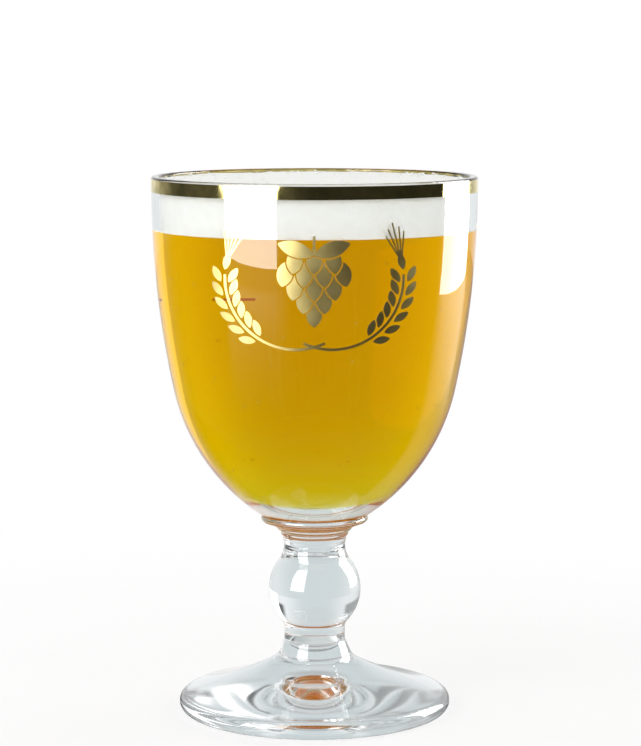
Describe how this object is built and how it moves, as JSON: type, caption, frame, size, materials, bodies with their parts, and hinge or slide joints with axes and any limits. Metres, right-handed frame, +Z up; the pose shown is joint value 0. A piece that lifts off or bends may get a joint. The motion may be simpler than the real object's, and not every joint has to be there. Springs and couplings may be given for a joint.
{
  "type": "chalice beer glass",
  "caption": "Chalice beer glass with a deep tulip-sided bowl, gold rim band and printed wreath, on a short knopped stem and round foot, filled with golden beer and a white head.",
  "frame": {"origin": "on the axis of the glass, in the plane of the flat ring that the foot rests on", "axes": "+Z up along the axis of the glass, -Y towards the front with the printed wreath, +X to the right as seen from the front"},
  "size_m": [0.0902, 0.0902, 0.15],
  "materials": {
    "clear_glass": "clear soda-lime glass, fire-polished",
    "fired_gold": "bright fired gold",
    "golden_beer": "clear golden beer",
    "white_foam": "fine white foam"
  },
  "bodies": {
    "root": {"foot": "clear_glass", "stem": "clear_glass", "bowl": "clear_glass", "rim_band": "fired_gold", "barley_print": "fired_gold", "fill_line": "fired_gold", "beer": "golden_beer", "foam_head": "white_foam"}
  },
  "joints": []
}
